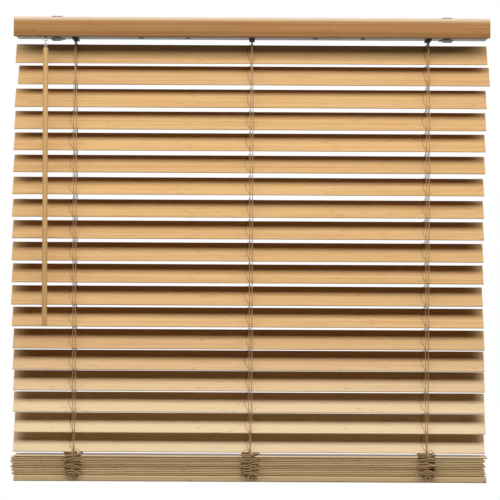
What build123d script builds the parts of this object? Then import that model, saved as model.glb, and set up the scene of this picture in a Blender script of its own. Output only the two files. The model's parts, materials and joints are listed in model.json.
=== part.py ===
from build123d import *
import os
from math import cos, radians, sin, sqrt

# A cordless bamboo venetian blind, part way up, with its slats tilted by a wand.
# Millimetres, +Z up, front towards -Y, left towards -X.
# The origin is midway between the two ceiling screw holes, on top of the brackets.

# General fits
play = 0.3               # gap between pieces that move past each other
cord_gap = 0.7           # slat edge to lift cord
seat_gap = 0.2           # gap round a piece that sits in a pocket
running_gap = 0.08       # radial gap of a turning fit
overrun = 2.0            # how far a cut runs past the face that it opens

# Slats
slat_overhang = 3.5      # slat end past the headrail's end
slat_width = 50.0
slat_thickness = 2.8
slat_pitch = 45.4
slat_count = 19
slat_tilt = 49.0         # degrees from level, that the shut limits are counted from
flattest_tilt = 48.0     # degrees, front edge down
tilt_spread = 8.0        # degrees between the flattest and the steepest slat, as their rungs give
slat_tilt_shares = (
    1.00, 0.95, 0.70, 0.50, 0.25, 0.10, 0.00, 0.10, 0.25, 0.45,
    0.45, 0.62, 0.70, 0.85, 0.90, 0.90, 0.85, 0.70, 0.55,
)
tilt_limit = 65.0 + 1.0 / 3.0   # degrees either way, where the blind is shut
slat_sag = 12.0          # how far a slat may hang below even spacing, as the ladders stretch
slat_sag_shares = (
    0.00, -0.03, 0.22, 0.35, 0.32, 0.42, 0.53, 0.68, 0.67, 0.75,
    0.79, 0.90, 0.92, 1.00, 0.93, 0.79, 0.76, 0.62, 0.25,
)
slat_play = 8.0          # how far a slat may slip sideways in its ladder
slat_shift_shares = (
    -0.10, 0.55, -0.25, -0.35, -0.50, -0.55, -0.80, -0.85, -0.80, -0.90,
    -0.85, -1.00, -0.75, -0.50, -0.50, -0.35, -0.35, -0.10, -0.35,
)

# Stack at the bottom
stacked_slat_count = 11
stack_gap = 0.9          # room that a ladder rung takes between two stacked slats
stack_drop = 27.4        # lowest free slat's axis down to the top of the stack
stack_shift_shares = (0.2, -0.7, -0.3, -0.9, -0.5, -0.2, -0.8, -0.4, -0.6, -0.1, -0.5)
rail_thickness = 13.0
rail_edge_radius = 3.0
plug_radius = 7.0
plug_depth = 4.0
plug_dome_share = 0.4    # share of the plug that stands below the rail

# Cords
cord_diameter = 1.4
lift_cord_diameter = 1.8
cord_pair_spacing = 5.6  # ladder rail to lift cord, side by side
cord_tail = 2.0          # how far a ladder rail runs below the last slat's edge
ladder_inset = 122.0     # outer ladders in from the headrail's ends
bunch_width = 38.0
bunch_height = 66.0
bunch_depth = 14.0
bunch_top_width = 9.0
bunch_foot_width = 17.0
bunch_shoulder_drop = 8.0
bunch_corner_radius = 6.0
bunch_round = 4.0
bunch_belly_share = 0.40  # height where the bunch starts to narrow

# Headrail
headrail_length = 988.0
headrail_depth = 60.0
headrail_height = 39.0
headrail_sheet = 0.8
headrail_lip = 4.0
headrail_bend = 1.2
first_slat_drop = 33.2   # headrail's underside down to the first slat's axis
cap_thickness = 1.5
cap_plug_length = 8.0
cap_plug_wall = 1.6

# Valance and its clips
valance_overhang = 5.0   # valance end past the headrail's end
valance_height = 41.2
valance_thickness = 8.0
valance_rise = 1.7       # valance top above the headrail top
valance_standoff = 11.0  # headrail front to valance back
valance_top_radius = 6.0
valance_foot_radius = 2.0
groove_width = 3.0
groove_depth = 2.0
groove_inset = 4.5       # valance edge to groove
clip_width = 16.0
clip_sheet = 1.8
clip_hook_drop = 5.0
clip_place_shares = (-0.32, -0.11, 0.11, 0.32)

# Brackets
bracket_inset = 82.5     # bracket's middle in from the headrail's end
bracket_width = 30.0
bracket_sheet = 1.5
bridge_rise = 5.5
bridge_width = 24.0
bridge_depth = 16.0
bridge_bend = 2.5
screw_radius = 2.5
claw_drop = 4.5
lip_reach = 22.0         # bracket's bottom lip, forwards from its rear leg
pin_radius = 2.0
pin_head_radius = 3.4
pin_head_height = 1.0
latch_width = 17.0
latch_tab_drop = 5.0
latch_tab_setback = 6.0  # tab face behind the headrail's front
latch_hole_radius = 1.0
pivot_inset = 12.0       # pivot in front of the rear leg

# Tilt rod, drums and cradles
rod_drop = 14.0          # headrail top down to the rod's axis
rod_flats = 6.0
rod_overhang = 6.0
drum_radius = 8.0
drum_flange_radius = 8.8
drum_flange_width = 2.0
drum_length = 20.0
hub_radius = 5.0
cradle_base = 2.0
cradle_wall = 2.5
cradle_foot = 4.0
cradle_rise = 3.0        # wall top above the rod's axis
cradle_lip_drop = 4.5
cradle_lip_wall = 1.0
cradle_lip_side = 2.0    # the lip is thicker at the slot's two narrow ends
cord_room = 0.4          # clear space at each end of a cord's swing

# Wand tilter
tilter_inset = 61.0      # tilter's middle in from the headrail's end
tilter_length = 30.0
tilter_back = 14.0
tilter_front = 20.0
tilter_top_gap = 0.6
tilter_cover_thickness = 2.0
stem_lean = 33.0         # degrees off upright
stem_radius = 3.0
worm_radius = 4.2
worm_above = 3.0
worm_below = 8.0
wheel_radius = 10.5
wheel_width = 8.0
wheel_teeth = 15
tooth_depth = 1.8
boss_radius = 5.5
boss_past_wall = 1.6
eye_drop = 1.5           # stem eye below the headrail's underside
eye_radius = 3.4
eye_hole_radius = 1.9
eye_thickness = 1.3
stem_gap = 3.0           # stem's round end above the eye's centre

# Wand
wire_radius = 0.8
ring_radius = 4.0
link_length = 5.0
link_radius = 1.9
ferrule_neck = 2.2
ferrule_radius = 4.6
ferrule_height = 3.0
ferrule_pin_radius = 2.4
ferrule_pin_length = 12.0
wand_width = 11.2
wand_length = 583.0
wand_edge_radius = 0.8

# Spring motors
motor_place_share = 0.186  # motor's middle from the blind's middle, of the headrail's length
motor_length = 150.0
motor_width = 44.0
motor_height = 17.5
motor_wall = 1.6
motor_cover_thickness = 1.5
motor_foot_end = 25.5    # foot's middle in from the case's end
motor_foot_width = 9.5
motor_foot_depth = 3.0
motor_foot_drop = 2.0
motor_foot_inset = 1.0
spool_end = 37.0         # pin in from the case's end
spool_flange_radius = 18.0
spool_core_radius = 9.0
spring_coil_radius = 16.0
spool_height = 13.0
spool_flange = 1.4
spool_pin_radius = 3.0
lift_run_rise = 8.0      # lift cord above the headrail's floor

# Places worked out from the sizes above
headrail_top = -(bridge_rise + bracket_sheet)
headrail_bottom = headrail_top - headrail_height
headrail_floor = headrail_bottom + headrail_sheet
headrail_front = -headrail_depth / 2
inner_half = headrail_depth / 2 - headrail_sheet
slat_length = headrail_length + 2 * slat_overhang
valance_length = headrail_length + 2 * valance_overhang
half_span = headrail_length / 2 - bracket_inset
tilter_place = tilter_inset - headrail_length / 2
ladder_spacing = headrail_length / 2 - ladder_inset
motor_place = headrail_length * motor_place_share
motor_foot_spacing = motor_length - 2 * motor_foot_end
spool_spacing = motor_length - 2 * spool_end
rod_z = headrail_top - rod_drop
first_slat_z = headrail_bottom - first_slat_drop
last_slat_z = first_slat_z - (slat_count - 1) * slat_pitch - slat_sag * slat_sag_shares[-1]
stack_top = last_slat_z - stack_drop
stacked_pitch = slat_thickness + stack_gap
rail_top = stack_top - stacked_slat_count * stacked_pitch
rail_bottom = rail_top - rail_thickness
stations = (-ladder_spacing, 0.0, ladder_spacing)

# The ladder cords pass beside the slats' round edges and move with them at every tilt
first_tilt = flattest_tilt + tilt_spread * slat_tilt_shares[0]
last_tilt = flattest_tilt + tilt_spread * slat_tilt_shares[-1]
cord_radius = cord_diameter / 2
lift_cord_radius = lift_cord_diameter / 2
edge_arm = (slat_width - slat_thickness) / 2
cord_offset = slat_thickness / 2 + lift_cord_radius + cord_gap
shut_forwards = radians(first_tilt + tilt_limit - slat_tilt)
shut_backwards = radians(tilt_limit + slat_tilt - first_tilt)
first_cord_y = edge_arm * cos(radians(first_tilt)) + cord_offset
last_cord_y = edge_arm * cos(radians(last_tilt)) + cord_offset
first_edge_rise = edge_arm * sin(radians(first_tilt))
last_edge_rise = edge_arm * sin(radians(last_tilt))
cord_slot_inner = edge_arm * cos(shut_forwards) + cord_offset - lift_cord_radius - cord_room
cord_slot_outer = edge_arm + cord_offset + lift_cord_radius + cord_room
cradle_lip_bottom = headrail_bottom - cradle_lip_drop
cord_slot_width = cord_pair_spacing + lift_cord_diameter + 2 * play

# The wand's stem leans forwards from the worm, out through the headrail's front corner
worm_distance = wheel_radius + play + worm_radius
lean_sin = sin(radians(stem_lean))
lean_cos = cos(radians(stem_lean))
worm_y = -worm_distance * lean_cos
worm_z = rod_z + worm_distance * lean_sin
eye_z = headrail_bottom - eye_drop
eye_reach = (worm_z - eye_z) / lean_cos
eye_y = worm_y - eye_reach * lean_sin
ring_foot_z = eye_z - 2 * ring_radius
link_foot_z = ring_foot_z - link_length - link_radius
wand_eye_z = link_foot_z - (eye_hole_radius - wire_radius - play)
wand_top = wand_eye_z - eye_radius - ferrule_height
wand_bottom = wand_top - wand_length


def block(x0, x1, y0, y1, z0, z1):
    """Box between two opposite corners."""
    middle = Pos((x0 + x1) / 2, (y0 + y1) / 2, (z0 + z1) / 2)
    return middle * Box(abs(x1 - x0), abs(y1 - y0), abs(z1 - z0))


def bar_x(x0, x1, y, z, radius):
    """Round bar along X."""
    return Pos((x0 + x1) / 2, y, z) * Rot(0, 90, 0) * Cylinder(radius, abs(x1 - x0))


def bar_y(x, y0, y1, z, radius):
    """Round bar along Y."""
    return Pos(x, (y0 + y1) / 2, z) * Rot(90, 0, 0) * Cylinder(radius, abs(y1 - y0))


def bar_z(x, y, z0, z1, radius):
    """Round bar along Z."""
    return Pos(x, y, (z0 + z1) / 2) * Cylinder(radius, abs(z1 - z0))


def bar_stem(reach0, reach1, radius):
    """Round bar on the tilter's leaning axis; reach runs down it from beside the wheel."""
    middle = (reach0 + reach1) / 2
    place = Pos(tilter_place, worm_y - middle * lean_sin, worm_z - middle * lean_cos)
    return place * Rot(-stem_lean, 0, 0) * Cylinder(radius, abs(reach1 - reach0))


def span_x(section, length):
    """Section drawn in Y and Z, drawn out along X about the middle of the blind."""
    return extrude(Plane.YZ * section, length / 2, both=True)


def slat_at(x, z, tilt):
    """One flat bamboo slat with rounded long edges."""
    return Pos(x, 0, z) * span_x(Rot(0, 0, tilt) * SlotOverall(slat_width, slat_thickness), slat_length)


def hung_tilt(index):
    """Tilt of a hanging slat, in degrees."""
    return flattest_tilt + tilt_spread * slat_tilt_shares[index % len(slat_tilt_shares)]


def hung_height(index):
    """Height of a hanging slat's axis."""
    return first_slat_z - index * slat_pitch - slat_sag * slat_sag_shares[index % len(slat_sag_shares)]


def free_slat(index):
    """A slat that hangs in the ladders."""
    shift = slat_shift_shares[index % len(slat_shift_shares)] * slat_play
    return slat_at(shift, hung_height(index), hung_tilt(index))


def stacked_slats():
    """The slats that lie on the bottom rail, a ladder rung's thickness apart."""
    slats = []
    for index in range(stacked_slat_count):
        shift = stack_shift_shares[index % len(stack_shift_shares)] * slat_play
        z = stack_top - slat_thickness / 2 - index * stacked_pitch
        slats.append(slat_at(shift, z, 0))
    return Compound(slats)


def bottom_rail():
    """Thick bamboo rail with a round pocket under each ladder."""
    section = Pos(0, (rail_top + rail_bottom) / 2) * RectangleRounded(
        slat_width, rail_thickness, rail_edge_radius)
    rail = span_x(section, slat_length)
    for x in stations:
        rail -= bar_z(x, 0, rail_bottom - overrun, rail_bottom + plug_depth, plug_radius + seat_gap)
    return rail


def rail_plugs():
    """Buttons that hold the cord ends in the bottom rail."""
    plugs = []
    for x in stations:
        dome = plug_depth * plug_dome_share
        plug = bar_z(x, 0, rail_bottom - dome, rail_bottom + plug_depth, plug_radius)
        plugs.append(fillet(plug.edges().group_by(Axis.Z)[0], dome / 2))
    return Compound(plugs)


def taut_cord(points, radius):
    """Cord drawn tight from point to point."""
    run = Polyline(*points)
    return sweep(Plane(run @ 0, z_dir=run % 0) * Circle(radius), run, transition=Transition.TRANSFORMED)


def ladder_line(side):
    """Points (y, z) down the front (side -1) or rear (side 1) cords, beside each slat's edge in turn."""
    swing = shut_forwards if side < 0 else shut_backwards
    top = cradle_lip_bottom + edge_arm * sin(swing) + side * first_edge_rise
    bottom = last_slat_z + side * last_edge_rise - cord_tail
    line = [(side * first_cord_y, top)]
    for index in range(slat_count):
        tilt = radians(hung_tilt(index))
        y = edge_arm * cos(tilt) + cord_offset
        line.append((side * y, hung_height(index) + side * edge_arm * sin(tilt)))
    line.append((side * last_cord_y, bottom))
    return line


def ladder_cords(side, offset, radius):
    """Cords beside the slats' front (side -1) or rear (side 1) edges, one a ladder."""
    line = ladder_line(side)
    return Compound([taut_cord([(x + offset, y, z) for y, z in line], radius) for x in stations])


def cord_bunch(x, side):
    """Outer form of the slack ladder loops that pile up beside the stack."""
    foot = rail_bottom
    top = foot + bunch_height
    belly = foot + bunch_height * bunch_belly_share
    half = bunch_width / 2
    half_top = bunch_top_width / 2
    half_foot = bunch_foot_width / 2
    shoulder = top - bunch_shoulder_drop
    outline = Polyline(
        (half_top, top), (half, shoulder), (half, belly), (half_foot, foot),
        (-half_foot, foot), (-half, belly), (-half, shoulder), (-half_top, top), close=True)
    face = make_face(outline)
    face = fillet(face.vertices(), bunch_corner_radius)
    near = slat_width / 2 + play
    bunch = extrude(Plane.XZ * face, bunch_depth)
    bunch = fillet(bunch.faces().sort_by(Axis.Y)[0].edges(), bunch_round)
    turned = bunch if side < 0 else Rot(0, 0, 180) * bunch
    return Pos(x, side * near, 0) * turned


def bunch_tail(x):
    """Cord from a front bunch up to the last slat's edge, clear of the ladder rail's own swing."""
    top_y = -last_cord_y - cord_diameter - seat_gap
    top_z = last_slat_z - last_edge_rise - cord_tail - seat_gap
    low_y = -slat_width / 2 - bunch_depth / 2
    low_z = top_z + low_y - top_y
    return taut_cord([(x, top_y, top_z), (x, low_y, low_z)], cord_radius)


def cord_bunches():
    """Loops in front of and behind the stack at each ladder, with the front cords that lead to them."""
    bunches = []
    for x in stations:
        bunches.append(cord_bunch(x, -1) + bunch_tail(x - cord_pair_spacing / 2))
        bunches.append(cord_bunch(x, 1))
    return Compound(bunches)


def headrail():
    """Open-topped steel channel with inward lips, slotted for cords, motor feet and the tilter."""
    middle = (headrail_top + headrail_bottom) / 2
    section = Pos(0, middle) * Rectangle(headrail_depth, headrail_height)
    section = fillet(section.vertices().group_by(Axis.Y)[0], headrail_bend)
    inside = headrail_height - 2 * headrail_sheet
    section -= Pos(0, middle) * Rectangle(2 * inner_half, inside)
    mouth = 2 * (inner_half - headrail_lip)
    section -= Pos(0, headrail_top) * Rectangle(mouth, 2 * (headrail_sheet + overrun))
    rail = span_x(section, headrail_length)
    for x in stations:
        for side in (-1, 1):
            rail -= cord_slot(x, side, cradle_lip_side + seat_gap, cradle_lip_wall + seat_gap,
                              headrail_bottom - overrun, headrail_floor + overrun)
    for place in (-motor_place, motor_place):
        for foot in (-motor_foot_spacing / 2, motor_foot_spacing / 2):
            rail -= motor_foot(place + foot, seat_gap, headrail_floor + overrun)
    return rail - bar_stem(worm_below, eye_reach + overrun, boss_radius + seat_gap)


def cord_slot(x, side, margin_x, margin_y, z0, z1):
    """Upright slot that a ladder's cords move in, with a margin all round."""
    half = cord_slot_width / 2 + margin_x
    near = side * (cord_slot_inner - margin_y)
    far = side * (cord_slot_outer + margin_y)
    return block(x - half, x + half, near, far, z0, z1)


def end_caps():
    """Plastic caps with a hollow plug, pushed into the headrail's ends."""
    caps = []
    for side in (-1, 1):
        end = side * headrail_length / 2
        far = end + side * cap_thickness
        cap = block(end, far, headrail_front, -headrail_front, headrail_bottom, headrail_top)
        half = inner_half - seat_gap
        low = headrail_floor + seat_gap
        high = headrail_top - headrail_sheet - seat_gap
        plug = block(end, end - side * cap_plug_length, -half, half, low, high)
        hollow = half - cap_plug_wall
        plug -= block(end, end - side * (cap_plug_length + overrun), -hollow, hollow,
                      low + cap_plug_wall, high - cap_plug_wall)
        caps.append(cap + plug)
    return Compound(caps)


def valance():
    """Bamboo board with a rounded top, grooved behind for its clips."""
    front = headrail_front - valance_standoff - valance_thickness
    top = headrail_top + valance_rise
    bottom = top - valance_height
    board = Rectangle(valance_thickness, valance_height)
    section = Pos(front + valance_thickness / 2, (top + bottom) / 2) * board
    corners = section.vertices().group_by(Axis.X)[0].sort_by(Axis.Y)
    section = fillet(corners[1], valance_top_radius)
    corners = section.vertices().group_by(Axis.Y)[0].sort_by(Axis.X)
    section = fillet(corners[0], valance_foot_radius)
    for z in groove_places():
        section -= Pos(front + valance_thickness, z) * Rectangle(2 * groove_depth, groove_width)
    return span_x(section, valance_length)


def groove_places():
    """Heights of the two grooves behind the valance."""
    top = headrail_top + valance_rise
    inset = groove_inset + groove_width / 2
    return top - inset, top - valance_height + inset


def valance_clips():
    """Clips that hook over the headrail's front lip and snap into the valance's grooves."""
    back = headrail_front - valance_standoff
    high, low = groove_places()
    barb = groove_width / 2 - seat_gap
    top = headrail_top + clip_sheet
    hook = headrail_front + headrail_sheet + headrail_lip + seat_gap
    plate = (back, back + clip_sheet, low - barb, top)
    over = (back, hook + clip_sheet, headrail_top, top)
    inside = (hook, hook + clip_sheet, headrail_top - clip_hook_drop, top)
    strut = (back, headrail_front, low - barb, low + barb)
    barbs = [(back - groove_depth + seat_gap, back, z - barb, z + barb) for z in (high, low)]
    clips = []
    for share in clip_place_shares:
        x = share * headrail_length
        half = clip_width / 2
        pieces = [block(x - half, x + half, *sides) for sides in (plate, over, inside, strut, *barbs)]
        clips.append(pieces[0] + pieces[1:])
    return Compound(clips)


def bracket(x):
    """Ceiling bracket: a plate over the headrail with a raised screw bridge, and a leg behind."""
    half = bracket_width / 2
    rear = headrail_depth / 2 + seat_gap
    outer = rear + bracket_sheet
    low = headrail_bottom - seat_gap
    plate_top = headrail_top + bracket_sheet
    plate = block(x - half, x + half, -outer, outer, headrail_top, plate_top)
    plate += block(x - half, x + half, -outer, -rear, headrail_top - claw_drop, plate_top)
    plate += block(x - half, x + half, rear, outer, low - bracket_sheet, plate_top)
    plate += block(x - half, x + half, outer - lip_reach, outer, low - bracket_sheet, low)
    opening = bridge_width / 2 - bracket_sheet
    plate -= block(x - opening, x + opening, -bridge_depth / 2, bridge_depth / 2,
                   headrail_top - overrun, plate_top + overrun)
    plate += screw_bridge(x)
    return plate - bar_z(x, latch_pivot_y(), low - bracket_sheet - overrun, low + overrun, pin_radius)


def screw_bridge(x):
    """Arched strap that takes one ceiling screw."""
    height = bridge_rise + bracket_sheet
    arch = Pos(0, -height / 2) * Rectangle(bridge_width, height)
    arch = fillet(arch.vertices().group_by(Axis.Y)[-1], bridge_bend)
    hollow = Pos(0, -height / 2 - bracket_sheet) * Rectangle(bridge_width - 2 * bracket_sheet, height)
    hollow = fillet(hollow.vertices().group_by(Axis.Y)[-1], bridge_bend - bracket_sheet)
    strap = extrude(Plane.XZ * (arch - hollow), bridge_depth / 2, both=True)
    strap -= bar_z(0, 0, -height, overrun, screw_radius)
    return Pos(x, 0, 0) * strap


def latch_pivot_y():
    """Where the latch turns, in front of the bracket's rear leg."""
    return headrail_depth / 2 - pivot_inset


def bracket_latch(x):
    """Swivel latch under the headrail, with a down-turned tab at the front."""
    top = headrail_bottom - seat_gap - bracket_sheet - seat_gap
    low = top - bracket_sheet
    front = headrail_front + latch_tab_setback
    half = latch_width / 2
    lever = block(x - half, x + half, front, latch_pivot_y() + half, low, top)
    lever = fillet(lever.edges().filter_by(Axis.Z).group_by(Axis.Y)[-1], half / 2)
    tab = block(x - half, x + half, front, front + bracket_sheet, low - latch_tab_drop, top)
    tab = fillet(tab.edges().filter_by(Axis.Y).group_by(Axis.Z)[0], bracket_sheet)
    tab -= bar_y(x, front - overrun, front + overrun, low - latch_tab_drop / 2, latch_hole_radius)
    lever += tab
    return lever - bar_z(x, latch_pivot_y(), low - overrun, top + overrun, pin_radius + running_gap)


def latch_pins():
    """Rivets that the latches turn on."""
    top = headrail_bottom - seat_gap
    low = top - 2 * bracket_sheet - 2 * seat_gap
    pins = []
    for x in (-half_span, half_span):
        shank = bar_z(x, latch_pivot_y(), low, top, pin_radius)
        pins.append(shank + bar_z(x, latch_pivot_y(), low - pin_head_height, low, pin_head_radius))
    return Compound(pins)


def hex_bar(x0, x1, flats):
    """Hexagonal bar on the tilt rod's axis."""
    section = Plane.YZ * RegularPolygon(flats / sqrt(3), 6)
    return Pos(x0, 0, rod_z) * extrude(section, x1 - x0)


def tilt_rod():
    """Hexagonal steel rod from the tilter to the furthest drum."""
    start = tilter_place - tilter_length / 2 - rod_overhang
    return hex_bar(start, ladder_spacing + drum_length, rod_flats)


def rod_bore(x0, x1):
    """Hexagonal hole that the tilt rod slides through."""
    return hex_bar(x0 - overrun, x1 + overrun, rod_flats + running_gap)


def tilt_drum(x):
    """Flanged drum that turns a ladder, with a hub at each end."""
    half = drum_length / 2
    reach = half + seat_gap + cradle_wall
    drum = bar_x(x - half, x + half, 0, rod_z, drum_radius)
    drum += bar_x(x - half, x - half + drum_flange_width, 0, rod_z, drum_flange_radius)
    drum += bar_x(x + half - drum_flange_width, x + half, 0, rod_z, drum_flange_radius)
    drum += bar_x(x - reach, x + reach, 0, rod_z, hub_radius)
    return drum - rod_bore(x - reach, x + reach)


def ladder_cradle(x):
    """Open cradle that carries a drum, with two cord slots that reach down through the headrail."""
    near = drum_length / 2 + seat_gap
    far = near + cradle_wall
    half = far + cradle_foot
    deep = inner_half - seat_gap
    top = headrail_floor + cradle_base
    cradle = block(x - half, x + half, -deep, deep, headrail_floor, top)
    for side in (-1, 1):
        wall = block(x + side * near, x + side * far, -drum_radius, drum_radius,
                     headrail_floor, rod_z + cradle_rise)
        wall -= bar_x(x - half, x + half, 0, rod_z, hub_radius + running_gap)
        bearing = hub_radius + running_gap
        wall -= block(x - half, x + half, -bearing, bearing, rod_z, rod_z + cradle_rise + overrun)
        wall -= block(x - half, x + half, -bearing, bearing, top, rod_z - drum_radius)
        cradle += wall
        cradle += cord_slot(x, side, cradle_lip_side, cradle_lip_wall, cradle_lip_bottom, top)
    for side in (-1, 1):
        cradle -= cord_slot(x, side, 0, 0, cradle_lip_bottom - overrun, top + overrun)
    return cradle


def tilter_housing():
    """Moulded case for the worm and wheel, with a boss that leads the stem out forwards."""
    half = tilter_length / 2
    x0 = tilter_place - half
    x1 = tilter_place + half
    high = headrail_top - tilter_top_gap
    case = block(x0, x1, -tilter_front, tilter_back, headrail_floor, high)
    case = fillet(case.edges().filter_by(Axis.X), play)
    wall_reach = (-headrail_front + worm_y) / lean_sin + boss_past_wall
    case += bar_stem(worm_below, wall_reach, boss_radius)
    middle = wheel_width / 2 + play
    case -= bar_x(tilter_place - middle, x1 + overrun, 0, rod_z, wheel_radius + play)
    case -= bar_x(x0 - overrun, x1, 0, rod_z, rod_flats)
    case -= bar_stem(-worm_above - play, worm_below + play, worm_radius + play)
    return case - bar_stem(worm_below, wall_reach + overrun, stem_radius + running_gap)


def tilter_cover():
    """Plate that closes the tilter's open side, with a collar that keeps the wheel in place."""
    x0 = tilter_place + tilter_length / 2
    x1 = x0 + tilter_cover_thickness
    plate = block(x0, x1, -tilter_front, tilter_back, headrail_floor, headrail_top - tilter_top_gap)
    plate += bar_x(tilter_place + wheel_width / 2 + play, x1, 0, rod_z, wheel_radius - play)
    return plate - bar_x(x0 - tilter_length, x1 + overrun, 0, rod_z, rod_flats)


def worm_wheel():
    """Toothed wheel on the tilt rod."""
    wheel = Circle(wheel_radius)
    gap = wheel_radius * sin(radians(90.0 / wheel_teeth)) * 2
    wheel -= PolarLocations(wheel_radius, wheel_teeth) * Rectangle(2 * tooth_depth, gap)
    wheel = extrude(Plane.YZ * wheel, wheel_width / 2, both=True)
    x0 = tilter_place - wheel_width / 2
    return Pos(tilter_place, 0, rod_z) * wheel - rod_bore(x0, x0 + wheel_width)


def worm_shaft():
    """Worm and its leaning stem, with a flat eye at the foot."""
    shaft = bar_stem(-worm_above, worm_below, worm_radius)
    shaft += bar_stem(worm_below, eye_reach - stem_gap, stem_radius)
    half = eye_thickness / 2
    shaft += bar_x(tilter_place - half, tilter_place + half, eye_y, eye_z, eye_radius)
    hole = bar_x(tilter_place - stem_radius, tilter_place + stem_radius, eye_y, eye_z, eye_hole_radius)
    return shaft - hole


def wand_ring():
    """Wire ring through the stem's eye."""
    return Pos(tilter_place, eye_y, eye_z - ring_radius) * Rot(90, 0, 0) * Torus(ring_radius, wire_radius)


def wand_hook():
    """Long wire link between the ring and the wand."""
    half = link_length / 2
    middle = Pos(tilter_place, eye_y, ring_foot_z - half)
    section = Pos(link_radius, 0) * Circle(wire_radius)
    bend = revolve(Plane.XZ * section, Axis.Z, 180)
    sides = Pos(link_radius, 0, 0) * Cylinder(wire_radius, link_length)
    sides += Pos(-link_radius, 0, 0) * Cylinder(wire_radius, link_length)
    upper = Pos(0, 0, half) * Rot(90, 0, 0) * bend
    lower = Pos(0, 0, -half) * Rot(-90, 0, 0) * bend
    return middle * Rot(0, 0, 90) * (sides + upper + lower)


def wand_ferrule():
    """Metal end of the wand: an eye, a cone and a pin into the rod."""
    place = Pos(tilter_place, eye_y, 0)
    half = eye_thickness / 2
    eye = bar_y(tilter_place, eye_y - half, eye_y + half, wand_eye_z, eye_radius)
    cone = Pos(0, 0, wand_top + ferrule_height / 2) * Cone(ferrule_radius, ferrule_neck, ferrule_height)
    pin = bar_z(tilter_place, eye_y, wand_top - ferrule_pin_length, wand_top, ferrule_pin_radius)
    neck = bar_z(tilter_place, eye_y, wand_top, wand_eye_z - eye_hole_radius - play, half)
    ferrule = place * cone + eye + pin + neck
    return ferrule - bar_y(tilter_place, eye_y - overrun, eye_y + overrun, wand_eye_z, eye_hole_radius)


def wand_rod():
    """Six-sided bamboo rod, drilled at the top for the ferrule's pin."""
    section = RegularPolygon(wand_width / 2, 6)
    section = fillet(section.vertices(), wand_edge_radius)
    rod = Pos(tilter_place, eye_y, wand_bottom) * extrude(section, wand_length)
    rod = chamfer(rod.edges().group_by(Axis.Z)[0], wand_edge_radius)
    depth = wand_top - ferrule_pin_length - seat_gap
    return rod - bar_z(tilter_place, eye_y, depth, wand_top + overrun, ferrule_pin_radius + running_gap)


def motor_foot(x, margin, top):
    """Snap foot of a spring motor, through the headrail's floor."""
    half = motor_foot_width / 2 + margin
    front = -motor_width / 2 + motor_foot_inset
    return block(x - half, x + half, front - margin, front + motor_foot_depth + margin,
                 headrail_bottom - motor_foot_drop - margin, top)


def spool_places(x):
    """Pin places of a motor's cord spool and spring drum; the spool is nearer the ladder outside."""
    outward = 1 if x > 0 else -1
    return x + outward * spool_spacing / 2, x - outward * spool_spacing / 2


def motor_case(x):
    """Open tray of a spring motor, with two pins and two snap feet."""
    half_x = motor_length / 2
    half_y = motor_width / 2
    top = headrail_floor + motor_height
    case = block(x - half_x, x + half_x, -half_y, half_y, headrail_floor, top)
    case -= block(x - half_x + motor_wall, x + half_x - motor_wall, -half_y + motor_wall, half_y - motor_wall,
                  headrail_floor + motor_wall, top + overrun)
    for place in spool_places(x):
        case += bar_z(place, 0, headrail_floor, top, spool_pin_radius)
    for foot in (-motor_foot_spacing / 2, motor_foot_spacing / 2):
        case += motor_foot(x + foot, 0, headrail_floor + motor_wall)
    return case


def motor_covers():
    """Lids of the two spring motors."""
    low = headrail_floor + motor_height
    half_y = motor_width / 2
    lids = []
    for x in (-motor_place, motor_place):
        half_x = motor_length / 2
        lids.append(block(x - half_x, x + half_x, -half_y, half_y, low, low + motor_cover_thickness))
    return Compound(lids)


def spool(x, core):
    """Flanged spool on a motor pin, filled to the core radius."""
    low = headrail_floor + motor_wall + seat_gap
    high = low + spool_height
    body = bar_z(x, 0, low, high, core)
    body += bar_z(x, 0, low, low + spool_flange, spool_flange_radius)
    body += bar_z(x, 0, high - spool_flange, high, spool_flange_radius)
    return body - bar_z(x, 0, low - overrun, high + overrun, spool_pin_radius + running_gap)


def lift_runs():
    """Lift cords along the headrail, from each cradle's wall to the nearest spring motor."""
    z = headrail_floor + lift_run_rise
    wall = drum_length / 2 + seat_gap + cradle_wall
    near = motor_place - motor_length / 2
    far = motor_place + motor_length / 2
    outer = ladder_spacing - wall
    y = drum_radius / 2
    radius = lift_cord_radius
    runs = [bar_x(side * far, side * outer, across, z, radius) for side in (-1, 1) for across in (-y, y)]
    runs.append(bar_x(-near, -wall, -y, z, radius))
    runs.append(bar_x(wall, near, y, z, radius))
    return Compound(runs)


half_pair = cord_pair_spacing / 2
pieces = {
    "headrail": headrail(),
    "headrail_end_caps": end_caps(),
    "headrail_lift_cords": lift_runs(),
    "valance": valance(),
    "valance_clips": valance_clips(),
    "bracket_left": bracket(-half_span),
    "bracket_right": bracket(half_span),
    "bracket_latch_left": bracket_latch(-half_span),
    "bracket_latch_right": bracket_latch(half_span),
    "latch_pins": latch_pins(),
    "tilter_housing": tilter_housing(),
    "tilter_cover": tilter_cover(),
    "worm_wheel": worm_wheel(),
    "worm_shaft": worm_shaft(),
    "tilt_rod": tilt_rod(),
    "wand_ring": wand_ring(),
    "wand_hook": wand_hook(),
    "wand_ferrule": wand_ferrule(),
    "wand_rod": wand_rod(),
    "spring_motor_case_left": motor_case(-motor_place),
    "spring_motor_case_right": motor_case(motor_place),
    "spring_motor_covers": motor_covers(),
    "front_ladder_cords": ladder_cords(-1, -half_pair, cord_radius),
    "rear_ladder_cords": ladder_cords(1, -half_pair, cord_radius),
    "front_lift_cords": ladder_cords(-1, half_pair, lift_cord_radius),
    "rear_lift_cords": ladder_cords(1, half_pair, lift_cord_radius),
    "cord_bunches": cord_bunches(),
    "stacked_slats": stacked_slats(),
    "bottom_rail": bottom_rail(),
    "rail_plugs": rail_plugs(),
}
for name, place in zip(("left", "middle", "right"), stations):
    pieces[f"tilt_drum_{name}"] = tilt_drum(place)
    pieces[f"ladder_cradle_{name}"] = ladder_cradle(place)
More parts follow.
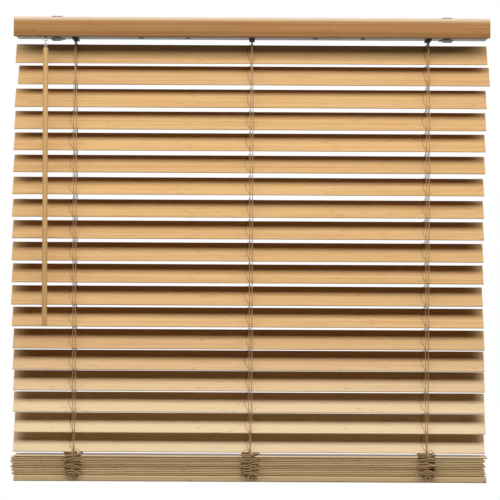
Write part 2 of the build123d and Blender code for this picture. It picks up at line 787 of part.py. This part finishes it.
for name, place in (("left", -motor_place), ("right", motor_place)):
    spool_x, spring_x = spool_places(place)
    pieces[f"cord_spool_{name}"] = spool(spool_x, spool_core_radius)
    pieces[f"spring_drum_{name}"] = spool(spring_x, spring_coil_radius)
for index in range(slat_count):
    pieces[f"slat_{index + 1:02d}"] = free_slat(index)

os.makedirs("parts", exist_ok=True)
for name, piece in pieces.items():
    export_step(piece, f"parts/{name}.step")
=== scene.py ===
import json
import math
import random

import bpy
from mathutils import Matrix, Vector


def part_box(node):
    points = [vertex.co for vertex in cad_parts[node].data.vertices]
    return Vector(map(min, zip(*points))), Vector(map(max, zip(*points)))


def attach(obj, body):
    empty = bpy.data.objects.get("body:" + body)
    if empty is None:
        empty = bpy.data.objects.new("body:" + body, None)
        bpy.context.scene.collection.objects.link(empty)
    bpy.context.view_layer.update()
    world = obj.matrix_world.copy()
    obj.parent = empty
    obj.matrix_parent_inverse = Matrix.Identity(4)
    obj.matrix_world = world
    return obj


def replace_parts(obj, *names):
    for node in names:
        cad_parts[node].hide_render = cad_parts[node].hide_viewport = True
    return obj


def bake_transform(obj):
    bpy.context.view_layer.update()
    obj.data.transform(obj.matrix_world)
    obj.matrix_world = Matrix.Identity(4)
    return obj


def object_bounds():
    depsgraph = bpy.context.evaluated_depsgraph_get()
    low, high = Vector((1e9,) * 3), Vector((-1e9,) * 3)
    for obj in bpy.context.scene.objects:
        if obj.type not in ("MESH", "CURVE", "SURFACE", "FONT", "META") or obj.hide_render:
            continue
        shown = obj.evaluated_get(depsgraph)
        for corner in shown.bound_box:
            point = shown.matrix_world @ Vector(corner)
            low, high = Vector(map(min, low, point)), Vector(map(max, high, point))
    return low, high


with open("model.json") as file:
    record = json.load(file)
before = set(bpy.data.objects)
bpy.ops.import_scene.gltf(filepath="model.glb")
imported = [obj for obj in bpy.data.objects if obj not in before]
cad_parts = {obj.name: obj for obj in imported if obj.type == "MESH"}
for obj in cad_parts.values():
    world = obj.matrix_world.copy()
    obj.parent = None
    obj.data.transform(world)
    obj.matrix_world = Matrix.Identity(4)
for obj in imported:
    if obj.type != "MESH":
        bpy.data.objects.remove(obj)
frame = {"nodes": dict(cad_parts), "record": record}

cad_low, cad_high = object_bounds()
MM = 0.001
WHITE = (1.0, 1.0, 1.0, 1.0)

# Shader building blocks


def srgb(red, green, blue):
    """A colour as an eye sees it, 0 to 255, as the linear values that a shader takes."""
    def linear(c):
        c = c / 255
        return c / 12.92 if c <= 0.04045 else ((c + 0.055) / 1.055) ** 2.4
    return linear(red), linear(green), linear(blue), 1.0


class Shader:
    """A material being wired: each method adds nodes and gives back an output."""

    def __init__(self, name, **sockets):
        self.material = bpy.data.materials.new(name)
        self.material.use_nodes = True
        self.tree = self.material.node_tree
        self.surface = self.tree.nodes["Principled BSDF"]
        for socket, value in sockets.items():
            self.put(self.surface.inputs[socket.replace("_", " ")], value)

    def put(self, socket, value):
        if isinstance(value, bpy.types.NodeSocket):
            self.tree.links.new(value, socket)
        else:
            socket.default_value = value

    def node(self, kind, **settings):
        made = self.tree.nodes.new(kind)
        for key, value in settings.items():
            setattr(made, key, value)
        return made

    def math(self, operation, *values):
        made = self.node("ShaderNodeMath", operation=operation)
        for socket, value in zip(made.inputs, values):
            self.put(socket, value)
        return made.outputs[0]

    def place(self):
        """The point on the piece, in metres, as three sockets."""
        split = self.node("ShaderNodeSeparateXYZ")
        self.put(split.inputs[0], self.node("ShaderNodeTexCoord").outputs["Object"])
        return split.outputs[0], split.outputs[1], split.outputs[2]

    def vector(self, x, y, z):
        made = self.node("ShaderNodeCombineXYZ")
        for socket, value in zip(made.inputs, (x, y, z)):
            self.put(socket, value)
        return made.outputs[0]

    def noise(self, vector, scale, detail=2.0, roughness=0.5):
        made = self.node("ShaderNodeTexNoise")
        self.put(made.inputs["Vector"], vector)
        made.inputs["Scale"].default_value = scale
        made.inputs["Detail"].default_value = detail
        made.inputs["Roughness"].default_value = roughness
        return made.outputs["Fac"]

    def drawn_noise(self, length, across, seed, along_scale, across_scale, detail, roughness=0.5):
        """Noise drawn out along the length."""
        point = self.vector(self.math("MULTIPLY", length, along_scale),
                            self.math("MULTIPLY", across, across_scale), seed)
        return self.noise(point, 1.0, detail, roughness)

    def chance(self, vector):
        made = self.node("ShaderNodeTexWhiteNoise")
        self.put(made.inputs["Vector"], vector)
        return made.outputs["Value"]

    def ramp(self, value, low, high, to_low=0.0, to_high=1.0):
        made = self.node("ShaderNodeMapRange", interpolation_type="SMOOTHSTEP")
        for key, item in (("Value", value), ("From Min", low), ("From Max", high),
                          ("To Min", to_low), ("To Max", to_high)):
            self.put(made.inputs[key], item)
        return made.outputs[0]

    def mix(self, factor, first, second, blend="MIX"):
        made = self.node("ShaderNodeMix", data_type="RGBA", blend_type=blend)
        self.put(made.inputs[0], factor)
        self.put(made.inputs[6], first)
        self.put(made.inputs[7], second)
        return made.outputs[2]

    def bump(self, height, strength, distance):
        made = self.node("ShaderNodeBump")
        made.inputs["Strength"].default_value = strength
        made.inputs["Distance"].default_value = distance
        self.put(made.inputs["Height"], height)
        self.put(self.surface.inputs["Normal"], made.outputs[0])

    def colour(self, value):
        self.put(self.surface.inputs["Base Color"], value)

    def roughness(self, value):
        self.put(self.surface.inputs["Roughness"], value)


# Heights, in metres, between which the painted light on the bamboo changes: painted sheen on the lowest
# slats, painted highlight and painted shade on the valance
LOW_SLATS_PAINTED_SHEEN = (-0.90, -0.66)
SLATS_PAINTED_SHEEN = (-0.90, -0.20)
CROWN_HIGHLIGHT_FADE = (-0.017, -0.008)
VALANCE_PAINTED_SHADE = (-0.046, -0.020)


def bamboo(name, pale, deep, joint_mark, along="X", strip=0.0052, lower=None, painted_crown_highlight=None, vary=0.0):
    """Split bamboo: fine fibres along the length, narrow strips, and a dark smudge where a strip has a node.

    Lower is a paler colour that the lowest slats fade to, a painted sheen, and with it the lowest slats are
    painted brighter; the crown colour is the paler colour of a board's rounded top, a painted highlight, and
    with it the board is painted darker towards its foot as painted shade.
    Vary is how much one strip differs from the next.
    """
    node_spacing, node_reach, node_strength = 0.31, 0.010, 0.22
    s = Shader(name, Specular_IOR_Level=0.2, Coat_Weight=0.04, Coat_Roughness=0.32)
    x, y, z = s.place()
    if along == "X":
        length, across = x, s.math("ADD", y, z)
    else:
        length, across = z, s.math("ADD", x, y)
    info = s.node("ShaderNodeObjectInfo")
    seed = s.math("MULTIPLY", info.outputs["Random"], 37.0)
    wander = s.noise(s.vector(length, s.math("MULTIPLY", across, 6.0), seed), 3.0)
    drift = s.math("MULTIPLY_ADD", wander, 0.003, across)
    fibre = s.drawn_noise(length, drift, seed, 7.0, 1500.0, 3.0, 0.6)
    streak = s.drawn_noise(length, drift, seed, 2.0, 330.0, 2.0)
    band = s.drawn_noise(length, drift, seed, 1.2, 130.0, 2.0)
    cloud = s.drawn_noise(length, drift, seed, 9.0, 60.0, 3.0)
    row = s.math("FLOOR", s.math("DIVIDE", drift, strip))
    luck = s.chance(s.vector(row, s.math("FLOOR", seed), 0.0))
    turn = s.math("FRACT", s.math("ADD", s.math("DIVIDE", length, node_spacing), luck))
    reach = s.math("MULTIPLY", s.math("ABSOLUTE", s.math("SUBTRACT", turn, 0.5)), node_spacing)
    ragged = s.math("MULTIPLY_ADD", s.math("SUBTRACT", fibre, 0.5), 0.016, reach)
    node = s.ramp(ragged, 0.0, node_reach, 1.0, 0.0)
    shown = s.math("MULTIPLY", node, s.ramp(luck, 0.1, 0.9, 0.15, 1.0))
    tone = s.math("ADD", s.math("MULTIPLY", s.ramp(fibre, 0.3, 0.75), 0.28), s.math("MULTIPLY", band, 0.28))
    tone = s.math("ADD", tone, s.math("MULTIPLY", s.ramp(streak, 0.40, 0.70), 0.34))
    tone = s.math("ADD", tone, s.math("MULTIPLY", s.ramp(cloud, 0.5, 0.85), 0.18))
    base = s.mix(tone, pale, deep)
    # Painted sheen: the lowest slats fade to the paler lower colour, in place of the gloss they catch from
    # the light.
    if lower:
        base = s.mix(s.ramp(z, *LOW_SLATS_PAINTED_SHEEN, 0.75, 0.0), base, lower)
    base = s.mix(s.math("MULTIPLY", shown, node_strength), base, joint_mark)
    # Random tone of each piece. Painted sheen, painted highlight and painted shade are multiplied into it
    # below.
    tone_and_painted_light = s.math("MULTIPLY_ADD", info.outputs["Random"], 0.10, 0.95)
    # Painted sheen: the lowest slats are painted a little brighter and the upper ones a little darker.
    if lower:
        tone_and_painted_light = s.math("MULTIPLY", tone_and_painted_light, s.ramp(z, *SLATS_PAINTED_SHEEN, 1.06, 0.97))
    if vary:
        tone_and_painted_light = s.math("MULTIPLY", tone_and_painted_light, s.math("MULTIPLY_ADD", luck, vary, 1.0 - vary / 2))
    # Painted highlight on the board's rounded top, where it faces the light, and painted shade that darkens
    # its face towards the foot.
    if painted_crown_highlight:
        base = s.mix(s.ramp(z, *CROWN_HIGHLIGHT_FADE, 0.0, 0.9), base, painted_crown_highlight)
        tone_and_painted_light = s.math("MULTIPLY", tone_and_painted_light, s.ramp(z, *VALANCE_PAINTED_SHADE, 0.52, 0.72))
        tone_and_painted_light = s.math("MULTIPLY", tone_and_painted_light, s.ramp(z, *CROWN_HIGHLIGHT_FADE, 1.0, 1.22))
    s.colour(s.mix(1.0, base, s.vector(tone_and_painted_light, tone_and_painted_light, tone_and_painted_light), "MULTIPLY"))
    s.roughness(s.math("MULTIPLY_ADD", fibre, 0.16, 0.38))
    s.bump(s.math("ADD", fibre, s.math("MULTIPLY", shown, 0.6)), 0.22, 0.2 * MM)
    return s.material


def cord_yarn(name, pale, deep):
    """Braided polyester: slanted picks that show as a fine chevron, with a little soil."""
    s = Shader(name, Specular_IOR_Level=0.25, Sheen_Weight=0.25)
    x, y, z = s.place()
    run = s.math("ADD", z, s.math("MULTIPLY", s.math("ADD", x, y), 0.8))
    weave = s.node("ShaderNodeTexWave", wave_type="BANDS", bands_direction="Z")
    s.put(weave.inputs["Vector"], s.vector(0.0, 0.0, run))
    weave.inputs["Scale"].default_value = 300.0
    weave.inputs["Distortion"].default_value = 1.5
    soil = s.noise(s.vector(x, y, z), 60.0, 3.0)
    tone = s.math("MULTIPLY_ADD", weave.outputs["Fac"], 0.35, s.math("MULTIPLY", soil, 0.5))
    s.colour(s.mix(tone, pale, deep))
    s.roughness(s.math("MULTIPLY_ADD", soil, 0.2, 0.65))
    s.bump(weave.outputs["Fac"], 0.5, 0.3 * MM)
    return s.material


def metal(name, tint, dark, metallic, rough, grain=900.0, stretch=0.06, lift=0.15):
    """Rolled or plated metal: fine drawn grain, faint clouding and a rougher patch here and there."""
    s = Shader(name, Metallic=metallic)
    x, y, z = s.place()
    fine = s.noise(s.vector(s.math("MULTIPLY", x, stretch), y, z), grain, 3.0)
    cloud = s.noise(s.vector(x, y, z), 35.0, 3.0)
    s.colour(s.mix(s.math("MULTIPLY_ADD", fine, 0.5, s.math("MULTIPLY", cloud, 0.4)), tint, dark))
    s.roughness(s.math("MULTIPLY_ADD", cloud, 0.16, rough))
    s.bump(fine, lift, 0.1 * MM)
    return s.material


def plastic(name, tint, dark, rough):
    """Moulded plastic: a fine spark texture and slight uneven gloss."""
    s = Shader(name, Specular_IOR_Level=0.45)
    x, y, z = s.place()
    spark = s.noise(s.vector(x, y, z), 1600.0, 2.0)
    flow = s.noise(s.vector(x, y, z), 50.0, 2.0)
    s.colour(s.mix(s.math("MULTIPLY_ADD", spark, 0.3, s.math("MULTIPLY", flow, 0.5)), tint, dark))
    s.roughness(s.math("MULTIPLY_ADD", flow, 0.2, rough))
    s.bump(spark, 0.12, 0.1 * MM)
    return s.material


finishes = {
    # The lower colour of the slat bamboo is a painted sheen on the lowest slats.
    "bamboo_slat": bamboo("slat bamboo", srgb(242, 203, 146), srgb(202, 145, 82), srgb(150, 94, 44),
                          lower=srgb(255, 232, 190)),
    "stack": bamboo("stacked bamboo", srgb(252, 222, 170), srgb(190, 146, 92), srgb(130, 90, 52),
                    strip=0.0037, vary=0.5),
    "bamboo_rail": bamboo("rail bamboo", srgb(255, 228, 176), srgb(236, 190, 132), srgb(150, 104, 60)),
    # The crown colour of the valance bamboo is a painted highlight on its rounded top. The board's face is
    # also painted darker towards the foot as painted shade.
    "bamboo_valance": bamboo("valance bamboo", srgb(232, 174, 108), srgb(190, 126, 66), srgb(136, 86, 46),
                             painted_crown_highlight=srgb(250, 222, 188)),
    "bamboo_wand": bamboo("wand bamboo", srgb(240, 198, 138), srgb(218, 170, 110), srgb(170, 122, 74),
                          along="Z"),
    "cord": cord_yarn("ladder cord", srgb(230, 196, 146), srgb(160, 118, 72)),
    # Rung thread: a darker copy of the ladder cord. This is partly its own darker yarn and partly painted
    # shade, where the thin threads lie in shadow on the slats.
    "rung": cord_yarn("rung thread with painted shade", srgb(178, 136, 88), srgb(112, 78, 44)),
    "headrail_steel": metal("painted steel", srgb(192, 194, 197), srgb(164, 167, 172), 0.1, 0.42,
                            grain=400.0, stretch=1.0, lift=0.06),
    "zinc_steel": metal("zinc plate", srgb(150, 152, 156), srgb(96, 98, 104), 0.85, 0.4),
    "bright_wire": metal("bright wire", srgb(205, 206, 210), srgb(140, 142, 148), 0.95, 0.24),
    "pale_plastic": plastic("pale plastic", srgb(226, 222, 212), srgb(200, 194, 180), 0.42),
    "dark_plastic": plastic("dark plastic", srgb(74, 66, 58), srgb(44, 38, 33), 0.45),
}

slot_of = {entry["node"]: entry["material_slot"] for entry in frame["record"]["subparts"]}
for node_name, thing in frame["nodes"].items():
    thing.data.materials.clear()
    thing.data.materials.append(finishes["stack" if node_name == "stacked_slats" else slot_of[node_name]])


def new_piece(name, vertices, faces, finish, smooth=False):
    mesh = bpy.data.meshes.new(name)
    mesh.from_pydata(vertices, [], faces)
    mesh.polygons.foreach_set("use_smooth", [smooth] * len(mesh.polygons))
    mesh.materials.append(finishes[finish])
    piece = bpy.data.objects.new(name, mesh)
    bpy.context.scene.collection.objects.link(piece)
    return piece


# Where the slats and ladders hang

SLAT_LENGTH = 995 * MM
SLAT_THICKNESS = 2.8 * MM
SLAT_HALF_WIDTH = 25 * MM
EDGE_ARM = 23.6 * MM
CORD_OFFSET = 3.0 * MM
LADDER_RADIUS = 0.7 * MM
LIFT_RADIUS = 0.9 * MM
RUNG_RADIUS = 0.42 * MM
ON_FACE = SLAT_THICKNESS / 2 + RUNG_RADIUS
FACES = ((-1, "front"), (1, "rear"))
luck = random.Random(11)


def middle(node):
    low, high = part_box(node)
    return (low + high) / 2


stations = [middle("ladder_cradle_" + side).x for side in ("left", "middle", "right")]
slat_names = sorted(n for n in frame["nodes"] if n.startswith("slat_") and n[5:].isdigit())
stack_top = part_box("stacked_slats")[1].z


def tilt_of(slat):
    low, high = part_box(slat)
    return math.atan2(high.z - low.z - SLAT_THICKNESS, high.y - low.y - SLAT_THICKNESS)


def on_slat(slat, x, across, above):
    """A point in the blind's frame from one on the slat: across runs rearwards, above is off its middle."""
    centre, tilt = middle(slat), tilt_of(slat)
    return Vector((
        x,
        centre.y + across * math.cos(tilt) - above * math.sin(tilt),
        centre.z + across * math.sin(tilt) + above * math.cos(tilt),
    ))


def cord_span(side):
    """Highest and lowest level of the front (side -1) or rear (side 1) cords."""
    low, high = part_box("front_ladder_cords" if side < 0 else "rear_ladder_cords")
    return high.z, low.z


def cord_line(side):
    """Points (z, y) down the cords, beside each slat's edge in turn."""
    edges = [on_slat(slat, 0, side * EDGE_ARM, 0) for slat in slat_names]
    return [(edge.z, edge.y + side * CORD_OFFSET) for edge in edges]


lines = {side: cord_line(side) for side, _ in FACES}


def cord_y(side, z):
    line = lines[side]
    for (high_z, high_y), (low_z, low_y) in zip(line, line[1:]):
        if z > low_z:
            return high_y + (low_y - high_y) * max(0.0, (high_z - z) / (high_z - low_z))
    return line[-1][1]


def smoothstep(value):
    value = min(1.0, max(0.0, value))
    return value * value * (3 - 2 * value)


def half_pair(z):
    """Half the distance between a ladder rail and its lift cord, which close up at the head and the foot."""
    top, foot = cord_span(-1)
    share = (top - z) / (top - foot)
    spread = min(smoothstep((share - 0.02) / 0.16), smoothstep((0.985 - share) / 0.09))
    return (0.85 + 2.0 * spread) * MM


# Cords


def flowing(points, steps):
    """A smooth run through the points."""
    knots = [points[0] * 2 - points[1], *points, points[-1] * 2 - points[-2]]
    run = []
    for a, b, c, d in zip(knots, knots[1:], knots[2:], knots[3:]):
        for k in range(steps):
            t = k / steps
            run.append(0.5 * (2 * b + (c - a) * t + (2 * a - 5 * b + 4 * c - d) * t * t
                              + (3 * b - a - 3 * c + d) * t ** 3))
    run.append(points[-1])
    return run


def cord_piece(name, cords, sides=7, finish="cord"):
    """One piece of round cords. Each cord is a run of points and a radius."""
    vertices, faces = [], []
    for run, radius in cords:
        normal = (run[1] - run[0]).orthogonal()
        start = len(vertices)
        for i, point in enumerate(run):
            along = (run[min(i + 1, len(run) - 1)] - run[max(i - 1, 0)]).normalized()
            normal = (normal - along * normal.dot(along)).normalized()
            beside = along.cross(normal)
            for k in range(sides):
                angle = math.tau * k / sides
                vertices.append(point + radius * (normal * math.cos(angle) + beside * math.sin(angle)))
        for i in range(len(run) - 1):
            for k in range(sides):
                a, b = start + i * sides + k, start + i * sides + (k + 1) % sides
                faces.append((a, b, b + sides, a + sides))
        last = start + (len(run) - 1) * sides
        faces.append(tuple(start + k for k in reversed(range(sides))))
        faces.append(tuple(last + k for k in range(sides)))
    return new_piece(name, vertices, faces, finish, smooth=True)


RAIL_STEPS = 76
RAIL_SWAY = 0.35 * MM
KNOT_RADIUS = 0.95 * MM
KNOT_LENGTH = 2.4 * MM


def rail_run(x, side, hand):
    """A ladder rail (hand -1) or lift cord (hand 1) from the headrail to below the last slat."""
    top, foot = cord_span(side)
    run = []
    for k in range(RAIL_STEPS + 1):
        z = top + (foot - top) * k / RAIL_STEPS
        sway = RAIL_SWAY * math.sin(k * 0.83 + x * 40 + hand) if hand < 0 else 0.0
        run.append(Vector((x + hand * half_pair(z) + sway, cord_y(side, z), z)))
    return run


def knot(run, z):
    """A thread wound round a cord at height z."""
    near = min(run, key=lambda p: abs(p.z - z))
    return [near + Vector((0, 0, KNOT_LENGTH * (k - 1) / 2)) for k in range(3)], KNOT_RADIUS


for side, name in FACES:
    ladder, lift = [], []
    for x in stations:
        rail = rail_run(x, side, -1)
        ladder.append((rail, LADDER_RADIUS))
        for slat in slat_names:
            ladder.append(knot(rail, on_slat(slat, x, side * EDGE_ARM, 0).z))
        lift.append((rail_run(x, side, 1), LIFT_RADIUS))
    for piece, node in ((cord_piece(name + "_ladder_rails", ladder), name + "_ladder_cords"),
                        (cord_piece(name + "_lift_lines", lift), name + "_lift_cords")):
        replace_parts(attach(piece, "ladder_" + name), node)

# Rungs: each slat lies on a taut lower thread, under a slack upper one that bows sideways

# Distance across the slat in millimetres, and share of the bow there
UPPER_RUNG = ((-21, 0.12), (-14, 0.55), (-6, 0.88), (2, 1.0), (10, 0.96), (18, 0.78), (23.5, 0.55))
LOWER_RUNG = (-23.6, -12, 0, 12, 23.6)
BOWED_OTHER_WAY = 3   # slats at the head of the left ladder

for number, slat in enumerate(slat_names):
    threads = []
    for column, x in enumerate(stations):
        bow = -luck.uniform(6.5, 10.5) * MM
        if column == 0 and number < BOWED_OTHER_WAY:
            bow = (4.5 - number) * MM
        front_z = on_slat(slat, x, -EDGE_ARM, 0).z
        rear_z = on_slat(slat, x, EDGE_ARM, 0).z + luck.uniform(4.0, 6.5) * MM
        front = Vector((x - half_pair(front_z), cord_y(-1, front_z), front_z))
        rear = Vector((x - half_pair(rear_z), cord_y(1, rear_z), rear_z))
        lean = luck.uniform(-4, 4)
        upper = [front]
        for across, share in UPPER_RUNG:
            upper.append(on_slat(slat, front.x + bow * share, (across + lean * share) * MM, ON_FACE))
        upper += [on_slat(slat, rear.x + bow * 0.35, 25.4 * MM, 1.2 * MM), rear]
        lower = [front, on_slat(slat, front.x + 0.4 * MM, -25.6 * MM, 0.2 * MM)]
        for across in LOWER_RUNG:
            lower.append(on_slat(slat, front.x + 1.0 * MM, across * MM, -ON_FACE))
        lower += [on_slat(slat, rear.x + 3.0 * MM, 25.6 * MM, 0.0), rear]
        threads += [(flowing(upper, 5), RUNG_RADIUS), (flowing(lower, 4), RUNG_RADIUS)]
    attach(cord_piece("rungs_" + slat[5:], threads, 6, "rung"), slat)

# Stacked slats: each lies unevenly on the rungs below it, and the ladders hold up the top ones' rear edges

# From the top slat down, in millimetres
STACK_SHIFTS = (1.6, -5.6, -2.4, -7.2, -4.0, -1.6, -6.4, -3.2, -4.8, -0.8, -4.0)
STACK_REAR_LIFTS = (1.9, 0.8, 0.3, 0.2, 0.0, 0.3, 0.1, 0.3, 0.0, 0.2, 0.1)
STACK_PITCH = 3.7 * MM
EDGE_ROUND = 1.0 * MM
CORNER_STEPS = 3


def slat_outline():
    """Points (y, z) round a slat's section, with rounded corners."""
    outline = []
    for corner, (along, up) in enumerate(((1, 1), (-1, 1), (-1, -1), (1, -1))):
        for step in range(CORNER_STEPS + 1):
            angle = math.radians(90 * corner + 90 / CORNER_STEPS * step)
            outline.append((along * (SLAT_HALF_WIDTH - EDGE_ROUND) + EDGE_ROUND * math.cos(angle),
                            up * (SLAT_THICKNESS / 2 - EDGE_ROUND) + EDGE_ROUND * math.sin(angle)))
    return outline


def stack_piece(name):
    outline = slat_outline()
    count = len(outline)
    vertices, faces = [], []
    for number, (shift, lift) in enumerate(zip(STACK_SHIFTS, STACK_REAR_LIFTS)):
        tilt = math.asin(lift * MM / (2 * SLAT_HALF_WIDTH))
        level = stack_top - SLAT_THICKNESS / 2 - number * STACK_PITCH
        start = len(vertices)
        for end in (-1, 1):
            for y, z in outline:
                across = y + SLAT_HALF_WIDTH
                vertices.append((shift * MM + end * SLAT_LENGTH / 2,
                                 across * math.cos(tilt) - z * math.sin(tilt) - SLAT_HALF_WIDTH,
                                 across * math.sin(tilt) + z * math.cos(tilt) + level))
        for k in range(count):
            a, b = start + k, start + (k + 1) % count
            faces.append((b, b + count, a + count, a))
        faces.append(tuple(start + k for k in reversed(range(count))))
        faces.append(tuple(start + count + k for k in range(count)))
    return new_piece(name, vertices, faces, "stack")


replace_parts(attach(stack_piece("slat_stack"), "stack"), "stacked_slats")

# Slack loops piled against the stack, and the cords that lead down to them

bunch_low, bunch_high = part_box("cord_bunches")
LOOP_RADIUS = 1.35 * MM
THIN_LOOP_RADIUS = LOOP_RADIUS * 0.75
STRAY_RADIUS = 0.6 * MM
LOOP_ROWS = 8
LOOP_REACH = 19.0
LOWEST_LOOP_REACH = 14.0
LEAF_SET_BACK = 3.0
# Share of the reach, then set back from the front and rise, in millimetres, round a loop's tip
LEAF = ((0.35, 0.0, 1.9), (0.85, 0.0, 0.9), (1.0, 0.8, -0.6), (0.8, 1.6, -1.9), (0.3, 2.2, -2.0))


def leaf(x, side, hand, z, reach, depth, slope, radius):
    """One folded loop: out from the middle, round its tip and back in below."""
    near = side * (depth - LEAF_SET_BACK * MM)
    points = [Vector((x - hand * 2.0 * MM, near, z + 1.6 * MM))]
    for share, set_back, rise in LEAF:
        points.append(Vector((x + hand * reach * share, side * (depth - set_back * MM),
                              z + rise * MM + slope * reach * share)))
    points.append(Vector((x - hand * 2.5 * MM, near, z - 2.4 * MM)))
    return flowing(points, 4), radius


def loop_pile(x, side):
    """Folded ladder cord in two columns of overlapping loops, with a few strays at the top and foot."""
    top, foot = bunch_high.z - 8 * MM, bunch_low.z + 17 * MM
    cords = []
    for row in range(LOOP_ROWS):
        share = row / (LOOP_ROWS - 1)
        narrowed = (LOOP_REACH - LOWEST_LOOP_REACH) * smoothstep((share - 0.6) / 0.4)
        width = (LOOP_REACH - narrowed) * MM
        for hand in (-1, 1):
            z = top + (foot - top) * (share + (0.06 if hand > 0 else 0.0)) + luck.uniform(-0.9, 0.9) * MM
            cords.append(leaf(
                x + luck.uniform(-1.5, 1.5) * MM, side, hand, z, width * luck.uniform(0.78, 1.0),
                luck.uniform(33.0, 36.0) * MM, luck.uniform(-0.28, 0.3), LOOP_RADIUS))
            if (row + hand) % 3:
                cords.append(leaf(
                    x + hand * 1.5 * MM, side, hand, z - 2.9 * MM, width * luck.uniform(0.7, 1.02),
                    luck.uniform(29.0, 31.0) * MM, luck.uniform(-0.3, 0.2), THIN_LOOP_RADIUS))
    hang = luck.uniform(-2, 3) * MM
    out = side * 34 * MM
    cords.append((flowing([
        Vector((x + hang - 3 * MM, out, foot + 3 * MM)),
        Vector((x + hang - 5 * MM, out, foot - 6 * MM)),
        Vector((x + hang, out, bunch_low.z + 3.5 * MM)),
        Vector((x + hang + 4 * MM, out, foot - 7 * MM)),
        Vector((x + hang + 1 * MM, out, foot + 3 * MM)),
    ], 6), THIN_LOOP_RADIUS))
    stray = luck.choice((-1, 1)) if x else -1
    cords.append((flowing([
        Vector((x + stray * 16 * MM, side * 31 * MM, top - 6 * MM)),
        Vector((x + stray * 16 * MM, side * 31 * MM, top + 2 * MM)),
        Vector((x + stray * 9 * MM, side * 30 * MM, top + 11 * MM)),
        Vector((x + stray * 2 * MM, side * 30 * MM, top + 5 * MM)),
        Vector((x, side * 30 * MM, top - 2 * MM)),
    ], 6), STRAY_RADIUS))
    return cords


loops = []
for x in stations:
    loops += loop_pile(x, -1) + loop_pile(x, 1)
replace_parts(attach(cord_piece("ladder_loops", loops, 6), "stack"), "cord_bunches")

TAIL_SHOULDER_OUT = 28.5 * MM    # where a tail passes the stack's edge
TAIL_SHOULDER_RISE = 2.8 * MM
KNOT_OUT = 30.5 * MM
KNOT_DROP = 10 * MM

for side, name in FACES:
    _, foot_z = cord_span(side)
    foot_y = cord_y(side, foot_z)
    knot_y, knot_z = side * KNOT_OUT, bunch_high.z - KNOT_DROP
    tails = []
    for x in stations:
        for hand, radius in ((-1, LADDER_RADIUS), (1, LIFT_RADIUS)):
            out = side * (1.9 if hand < 0 else 2.1) * MM
            begin = Vector((x + hand * half_pair(foot_z), foot_y + out, foot_z + 3 * MM))
            below = begin + Vector((0, 0, -3 * MM))
            shoulder = Vector((x + hand * 1.5 * MM, side * TAIL_SHOULDER_OUT, stack_top + TAIL_SHOULDER_RISE))
            end = Vector((x + hand * 1.2 * MM, knot_y, knot_z))
            tails.append((flowing([begin, below, shoulder, end], 8), radius))
    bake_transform(cord_piece(name + "_tails", tails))

# Camera, light and floor

PIXELS = 500
METRES_PER_PIXEL = 2.114 * MM
CAMERA_DISTANCE = 5.0
CAMERA_X = -0.0021
CAMERA_Z = -0.4922
CAMERA_ROLL = -0.28   # degrees
SENSOR = 36.0

camera_data = bpy.data.cameras.new("camera")
camera = bpy.data.objects.new("camera", camera_data)
bpy.context.scene.collection.objects.link(camera)
camera.location = (CAMERA_X, -CAMERA_DISTANCE, CAMERA_Z)
camera.rotation_euler = (math.radians(90), math.radians(CAMERA_ROLL), 0)
camera_data.sensor_width = SENSOR
camera_data.lens = SENSOR * CAMERA_DISTANCE / (PIXELS * METRES_PER_PIXEL)
bpy.context.scene.camera = camera
bpy.context.scene.view_settings.view_transform = "Standard"


def softbox(name, place, target, width, height, power):
    data = bpy.data.lights.new(name, "AREA")
    data.shape = "RECTANGLE"
    data.size, data.size_y = width, height
    data.energy = power
    light = bpy.data.objects.new(name, data)
    bpy.context.scene.collection.objects.link(light)
    light.location = place
    light.rotation_euler = (Vector(target) - Vector(place)).to_track_quat("-Z", "Y").to_euler()
    light.visible_camera = False


softbox("key", place=(0, -0.95, 0.60), target=(0, -0.85, -1.0), width=5.0, height=0.85, power=57)
softbox("back", place=(0, 3.2, 0.4), target=(0, 0, -0.5), width=3.0, height=2.0, power=7)


def seen_or_mirrored(tree):
    """1 for rays from the camera and for reflections, 0 for the rest."""
    paths = tree.nodes.new("ShaderNodeLightPath")
    seen = tree.nodes.new("ShaderNodeMath")
    seen.operation = "MAXIMUM"
    tree.links.new(paths.outputs["Is Camera Ray"], seen.inputs[0])
    tree.links.new(paths.outputs["Is Glossy Ray"], seen.inputs[1])
    return seen.outputs[0]


WORLD_FILL = 0.001
world = bpy.data.worlds.new("studio")
bpy.context.scene.world = world
world.use_nodes = True
tree = world.node_tree
tree.nodes.clear()
choose = tree.nodes.new("ShaderNodeMixShader")
tree.links.new(seen_or_mirrored(tree), choose.inputs[0])
for socket, strength in ((1, WORLD_FILL), (2, 1.0)):
    background = tree.nodes.new("ShaderNodeBackground")
    background.inputs["Color"].default_value = WHITE
    background.inputs["Strength"].default_value = strength
    tree.links.new(background.outputs[0], choose.inputs[socket])
surround = tree.nodes.new("ShaderNodeOutputWorld")
tree.links.new(choose.outputs[0], surround.inputs["Surface"])

FLOOR_DROP = 1.3
FLOOR_REACH = 2.2
FLOOR_GLOW = 0.75   # of white, for rays that see the floor directly
floor_z = cad_low.z - FLOOR_DROP
floor_mesh = bpy.data.meshes.new("floor")
floor_mesh.from_pydata(
    [(x * FLOOR_REACH, y * FLOOR_REACH, floor_z) for x, y in ((-1, -1), (1, -1), (1, 1), (-1, 1))],
    [], [(0, 1, 2, 3)])
floor = bpy.data.objects.new("floor", floor_mesh)
bpy.context.scene.collection.objects.link(floor)
floor_finish = plastic("pale floor", srgb(244, 244, 243), srgb(236, 236, 234), 0.8)
floor_mesh.materials.append(floor_finish)
tree = floor_finish.node_tree
glow = tree.nodes.new("ShaderNodeMath")
glow.operation = "MULTIPLY"
tree.links.new(seen_or_mirrored(tree), glow.inputs[0])
glow.inputs[1].default_value = FLOOR_GLOW
surface = tree.nodes["Principled BSDF"]
surface.inputs["Emission Color"].default_value = WHITE
tree.links.new(glow.outputs[0], surface.inputs["Emission Strength"])
